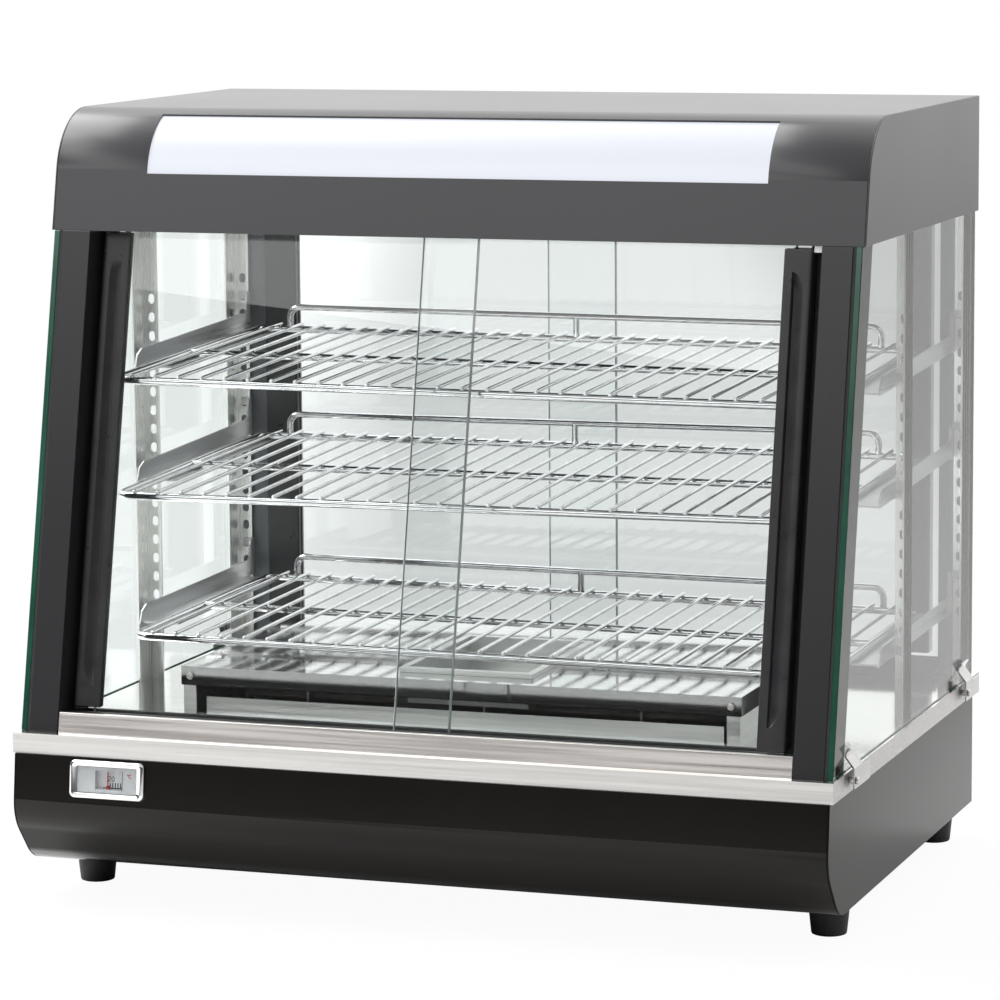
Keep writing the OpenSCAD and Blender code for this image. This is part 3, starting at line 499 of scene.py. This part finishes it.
def handle(node, body, out):
    """A moulded handle. out is -1 where its pull faces the front, 1 where it faces the back."""
    lo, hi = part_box(node)
    s = 1 if lo.x > 0 else -1           # the right handles are drawn, the left ones mirrored
    width = (hi.x - lo.x) / MM
    outer = max(abs(lo.x), abs(hi.x)) / MM
    (ya0, yb0), (ya1, yb1) = y_range(node, lo.z), y_range(node, hi.z)
    thick = (yb0 - ya0) / MM
    glass = nodes[node.replace("handle", "glass")]
    gz = [v.co.z for v in glass.data.vertices]
    g_lo = min(v.co.y for v in glass.data.vertices if abs(v.co.z - min(gz)) < 1e-5)
    g_hi = max(v.co.y for v in glass.data.vertices if abs(v.co.z - min(gz)) < 1e-5)
    lean = (ya1 - ya0) / (hi.z - lo.z)
    g0 = (g_lo + lean * (lo.z - min(gz)) - ya0) / MM
    g1 = (g_hi + lean * (lo.z - min(gz)) - ya0) / MM
    if out > 0:                         # measured from the face with the pull
        g0, g1 = thick - g1, thick - g0
    bite = GLASS_BITE
    back = 5.0 if out < 0 else 0.0      # a front handle's back is cut away at its inner edge
    u1 = PULL_U0 + (width - PULL_U0) * PULL_REACH
    rows = [0, 0.7, 4, 10, PULL_END]
    rows += [PULL_END + PULL_TAPER * k / 12 for k in range(1, 13)]
    high = (hi.z - lo.z) / MM
    rows = rows + [high / 2] + [high - r for r in reversed(rows)]
    face = [0.0, 0.5, LONG_EDGE_R, 3.5, 5.6] + [None] * PULL_POINTS
    face += [width - 3.5, width - 1.6, width - 0.6, width]
    verts, faces = [], []
    for r in rows:
        end = min(r, high - r)
        t = min(max((end - PULL_END) / PULL_TAPER, 0), 1)
        reach = math.sqrt(1 - (1 - t) ** 2)
        tip = PULL_U0 + 0.02 + (u1 - PULL_U0 - 0.02) * reach
        depth = PULL_DEPTH * min(1, reach * 1.15)
        shrink = END_SHRINK if end < 0.1 else 0.0
        ring = []
        for k, u in enumerate(face):
            if u is None:
                j = k - 4
                u = PULL_U0 - 0.3 + (tip + 0.3 - PULL_U0 + 0.3) * (j - 1) / (PULL_POINTS - 1)
            o = groove(u, tip, depth)
            edge = min(u, width - u)
            if edge < LONG_EDGE_R:
                fall = math.sqrt(max(LONG_EDGE_R ** 2 - (LONG_EDGE_R - edge) ** 2, 0))
                o = max(o, LONG_EDGE_R - fall)
            ring.append((u, o))
        ring += [(width, thick - 1.0), (width - 1.0, thick), (bite + 2, thick)]
        far, near = g1 + GLASS_PLAY, g0 - GLASS_PLAY
        if thick - g1 > 1:
            ring += [(back + 0.8, thick), (back, thick - 0.8), (back, far)]
        else:
            ring += [(back + 0.3, thick), (back, thick - 0.1), (back, min(far, thick - 0.15))]
        ring += [(bite, far), (bite, near), (0.0, near)]
        for u, o in ring:
            if shrink:
                u += shrink if u < width / 2 else -shrink
                o = min(max(o, shrink), thick - shrink)
            if out > 0:
                o = thick - o
            z = lo.z + r * MM
            verts.append((s * (outer - width + u) * MM, ya0 + lean * (z - lo.z) + o * MM, z))
    n = len(verts) // len(rows)
    for i in range(len(rows) - 1):
        for k in range(n):
            q = (i * n + k, i * n + (k + 1) % n, (i + 1) * n + (k + 1) % n, (i + 1) * n + k)
            faces.append(q)
    faces.append(tuple(range(n)))
    faces.append(tuple(range((len(rows) - 1) * n, len(rows) * n)))
    obj = mesh_object("pull_" + node, verts, faces, ["handle_plastic"])
    bm = bmesh.new()
    bm.from_mesh(obj.data)
    bmesh.ops.triangulate(bm, faces=[f for f in bm.faces if len(f.verts) > 4])
    bmesh.ops.recalc_face_normals(bm, faces=bm.faces)
    for f in bm.faces:
        f.smooth = True
    for e in bm.edges:
        if len(e.link_faces) == 2 and e.calc_face_angle(0) > math.radians(28):
            e.smooth = False
    bm.to_mesh(obj.data)
    bm.free()
    return stands_for(obj, node, body)


for n in nodes:
    if SLOT[n] == "handle_plastic":
        handle(n, BODY_OF[n], -1 if n.startswith("front") else 1)

# ---- shelves: a bead where each wire is welded to a rod --------------------------------------------

SHELVES = {                             # shift in X, front Y, front Z, rise, tip (all in mm)
    "top_shelf": (0, -135.5, 400.7, 10.6, -1.6),
    "middle_shelf": (-1.5, -130.5, 310.3, 11.0, 1.0),
    "lower_shelf": (3, -110.5, 191.4, 4.4, -1.8),
}
SHELF_REAR = 173.5
SHELF_HALF = 284
WIRES, PITCH = 28, 19.8


def beads(node):
    shift, front, height, rise, tip = SHELVES[node]
    depth = SHELF_REAR - front
    at = Matrix.Translation(Vector((shift, front, height)) * MM) @ \
        Matrix.Rotation(-math.atan(tip / SHELF_HALF), 4, "Y") @ \
        Matrix.Rotation(math.atan(rise / depth), 4, "X")
    bm = bmesh.new()
    for k in range(WIRES):
        x = PITCH * (k - (WIRES - 1) / 2)
        # a bead of radius r at the front rod, the middle rod and the wire's rear end
        for y, z, r in ((-0.6, 3.6, 2.0), (depth / 2, 3.3, 1.9), (depth + 3.6, 4.0, 1.75)):
            ball = bmesh.ops.create_uvsphere(bm, u_segments=10, v_segments=6, radius=r * MM)
            grow = 1 + 0.12 * random.random()
            place = at @ Matrix.Translation(Vector((x, y, z)) * MM) @ \
                Matrix.Diagonal((grow, 0.9 if y < 0 else 0.8, 0.8, 1))
            bmesh.ops.transform(bm, matrix=place, verts=ball["verts"])
    for f in bm.faces:
        f.smooth = True
    me = bpy.data.meshes.new("beads_" + node)
    bm.to_mesh(me)
    bm.free()
    obj = bpy.data.objects.new("beads_" + node, me)
    scene.collection.objects.link(obj)
    me.materials.append(M["bead_steel"])
    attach(obj, BODY_OF[node])


for n in SHELVES:
    beads(n)

# ---- thermometer ---------------------------------------------------------------------------------

GAUGE_LEAN = math.radians(6.5)
GAUGE_AT = Vector((-248.3, -237.5 - 1.4 - 16.5 * math.tan(GAUGE_LEAN), 103)) * MM
GAUGE = Matrix.Translation(GAUGE_AT) @ Matrix.Rotation(-GAUGE_LEAN, 4, "X")
GAUGE_W, GAUGE_H = 63, 30
WINDOW_W, WINDOW_H = 50.8, 20.8


def rounded_ring(w, h, r, y, count=8):
    """Points of a rounded rectangle in the thermometer's frame, in mm."""
    pts = []
    for cx, cz, a0 in ((1, 1, 0), (-1, 1, 90), (-1, -1, 180), (1, -1, 270)):
        for k in range(count + 1):
            a = math.radians(a0 + 90 * k / count)
            pts.append((cx * (w / 2 - r) + r * math.cos(a), y, cz * (h / 2 - r) + r * math.sin(a)))
    return pts


def bezel():
    """A plated frame with a rolled outer edge and a flared inner one."""
    w, h = GAUGE_W, GAUGE_H
    shape = [(0, 4.6, -0.1), (0, 4.6, -1.6), (0.5, 4.4, -2.8), (1.3, 4.0, -3.5), (2.3, 3.6, -3.85),
             (3.2, 3.2, -3.75), (4.0, 2.6, -3.2), (4.9, 2.0, -2.7), (5.9, 1.0, -2.6)]
    rings = [rounded_ring(w - 2 * i, h - 2 * i * 0.78, r, y) for i, r, y in shape]
    rings.append(rounded_ring(WINDOW_W, WINDOW_H, 0.6, -2.5))
    rings.append(rounded_ring(WINDOW_W, WINDOW_H, 0.6, -0.1))
    n = len(rings[0])
    verts = [GAUGE @ (Vector(p) * MM) for ring in rings for p in ring]
    faces = []
    for i in range(len(rings)):
        j = (i + 1) % len(rings)
        for k in range(n):
            faces.append((i * n + k, j * n + k, j * n + (k + 1) % n, i * n + (k + 1) % n))
    obj = mesh_object("bezel", verts, faces, ["bezel_chrome"], smooth=True)
    bm = bmesh.new()
    bm.from_mesh(obj.data)
    bmesh.ops.recalc_face_normals(bm, faces=bm.faces)
    for e in bm.edges:
        if len(e.link_faces) == 2 and e.calc_face_angle(0) > math.radians(40):
            e.smooth = False
    bm.to_mesh(obj.data)
    bm.free()
    stands_for(obj, "thermometer_bezel", "case")


def stroke(points, width, y, thick=0.12):
    """A printed line in the thermometer's frame: flat bars from point to point."""
    verts, faces = [], []
    for (xa, za), (xb, zb) in zip(points, points[1:]):
        along = Vector((xb - xa, zb - za)).normalized() * width / 2
        across = Vector((-along.y, along.x))
        b = len(verts)
        for yy in (y, y - thick):
            for px, pz, e in ((xa, za, -1), (xb, zb, 1)):
                for side in (-1, 1):
                    verts.append((px + e * along.x * 0.9 + side * across.x, yy,
                                  pz + e * along.y * 0.9 + side * across.y))
        faces += [tuple(b + k for k in q) for q in
                  ((0, 1, 3, 2), (4, 6, 7, 5), (0, 2, 6, 4), (1, 5, 7, 3), (0, 4, 5, 1), (2, 3, 7, 6))]
    return verts, faces


def print_on_dial(name, strokes, ink):
    verts, faces = [], []
    for points, width, y in strokes:
        v, f = stroke(points, width, y)
        faces += [tuple(i + len(verts) for i in q) for q in f]
        verts += v
    obj = mesh_object(name, [GAUGE @ (Vector(p) * MM) for p in verts], faces, [ink])
    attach(obj, "case")


def ellipse(cx, cz, rx, rz, a0=0, a1=360, count=14):
    return [(cx + rx * math.cos(math.radians(a0 + (a1 - a0) * k / count)),
             cz + rz * math.sin(math.radians(a0 + (a1 - a0) * k / count))) for k in range(count + 1)]


FLOOR_Y = 2.95                          # just above the bottom of the dial's pocket
FACE_Y = -1.25
bezel()
ticks = [([(x, -6.0), (x, -2.4)], 0.75, FLOOR_Y) for x in (1.2, 3.4, 5.6, 7.8, 10.0, 12.2)]
base_line = [([(-4.4, -6.3), (12.6, -6.3)], 0.8, FLOOR_Y)]
two = ellipse(0.6, 1.9, 1.0, 1.0, 160, -40, 8) + [(-0.5, -0.9), (1.7, -0.9)]
zero = ellipse(3.6, 0.9, 1.05, 1.85)
figures = [(two, 0.42, FLOOR_Y), (zero, 0.42, FLOOR_Y)]
frame_lines = [([(-9.3, -7.4), (-9.3, 7.3)], 0.35, FACE_Y), ([(13.1, -7.4), (13.1, 7.3)], 0.35, FACE_Y)]
print_on_dial("scale_print", ticks + base_line + figures + frame_lines, "ink")
degree = [(ellipse(17.6, 5.0, 0.55, 0.55, 0, 360, 8), 0.3, FACE_Y),
          (ellipse(19.8, 4.1, 1.15, 1.4, 50, 310, 10), 0.4, FACE_Y)]
print_on_dial("unit_print", degree, "red_plastic")

# ---- floor ---------------------------------------------------------------------------------------

FLOOR_WHITE = 0.95                      # share of plain white in the floor that the camera sees
FLOOR_HALF = 9
FLOOR_FALL_LEAN = 0.35                  # how far the painted light fall-off to the right turns away from X


def floor_material():
    """A white floor with painted shade, greyer on the right. Seen directly, it is nearly plain white with
    a faint shadow;
    through the case's glass, its glow is painted light and shade, brighter on the left and a little
    darker towards the right."""
    m = material("floor", (0.9, 0.9, 0.895), 0.6)
    tint(m, texture(m, 3), (0.88, 0.88, 0.875), (0.92, 0.92, 0.915))
    nt = m.node_tree
    at = place_axes(nt)
    # painted shade: the floor's colour dims towards the right, to 0.58 past X = 0.55
    dim_base_colour(nt, ramp_between(nt, at["X"], 0.33, 0.55, 1.0, 0.58))
    path = nt.nodes.new("ShaderNodeLightPath")
    # painted light and shade for rays through the glass: the floor glows brighter on the left and less on
    # the right
    across = combine(nt, "ADD", at["X"], combine(nt, "MULTIPLY", at["Y"], FLOOR_FALL_LEAN))
    left_painted_light = ramp_between(nt, across, -0.42, -0.12, 1.2, 0.77)
    right_painted_shade = ramp_between(nt, across, 0.45, 0.75, 0.0, 0.24)
    strength = nt.nodes.new("ShaderNodeMix")
    nt.links.new(path.outputs["Is Transmission Ray"], strength.inputs[0])
    strength.inputs[2].default_value = 1.0
    nt.links.new(combine(nt, "SUBTRACT", left_painted_light, right_painted_shade), strength.inputs[3])
    glow = nt.nodes.new("ShaderNodeEmission")
    nt.links.new(strength.outputs[0], glow.inputs["Strength"])
    behind = ramp_between(nt, at["Y"], 0.2, 0.3, 0.0, 1.0)
    mostly = combine(nt, "MULTIPLY", seen_directly(nt, path, behind), FLOOR_WHITE)
    mix = nt.nodes.new("ShaderNodeMixShader")
    nt.links.new(mostly, mix.inputs[0])
    nt.links.new(nt.nodes["Principled BSDF"].outputs[0], mix.inputs[1])
    nt.links.new(glow.outputs[0], mix.inputs[2])
    nt.links.new(mix.outputs[0], nt.nodes["Material Output"].inputs["Surface"])
    return m


M["floor"] = floor_material()
corners = [(x * FLOOR_HALF, y * FLOOR_HALF, 0) for x, y in ((-1, -1), (1, -1), (1, 1), (-1, 1))]
floor = mesh_object("floor", corners, [(0, 1, 2, 3)], ["floor"])

SOFTEN = {
    "base_shell": 0.5, "base_side_left": 0.5, "base_side_right": 0.5, "base_rear_panel": 0.4,
    "deck_tray": 0.6, "front_sill": 0.4, "heater_box": 0.4, "heater_cover": 0.5,
    "canopy_shell": 0.5, "canopy_side_left": 0.6, "canopy_side_right": 0.6, "canopy_floor": 0.4,
    "glass_clips": 0.25, "small_screws": 0.7, "foot_screws": 0.5, "front_tracks": 0.3, "rear_tracks": 0.3,
    "foot_front_left": 1.2, "foot_front_right": 1.2, "foot_rear_left": 1.2, "foot_rear_right": 1.2,
    "thermostat_knob": 0.6, "heat_rocker": 0.4, "light_rocker": 0.4, "switch_bodies": 0.4,
    "power_inlet": 0.4, "water_pan": 0.45, "top_brackets": 0.25, "middle_brackets": 0.25,
    "lower_brackets": 0.25, "standards_left": 0.2, "standards_right": 0.2, "thermometer_housing": 0.2,
    "front_post_left": 0.6, "front_post_right": 0.6, "rear_post_left": 0.6, "rear_post_right": 0.6,
}
for n, w in SOFTEN.items():
    soften(nodes[n], w * MM)
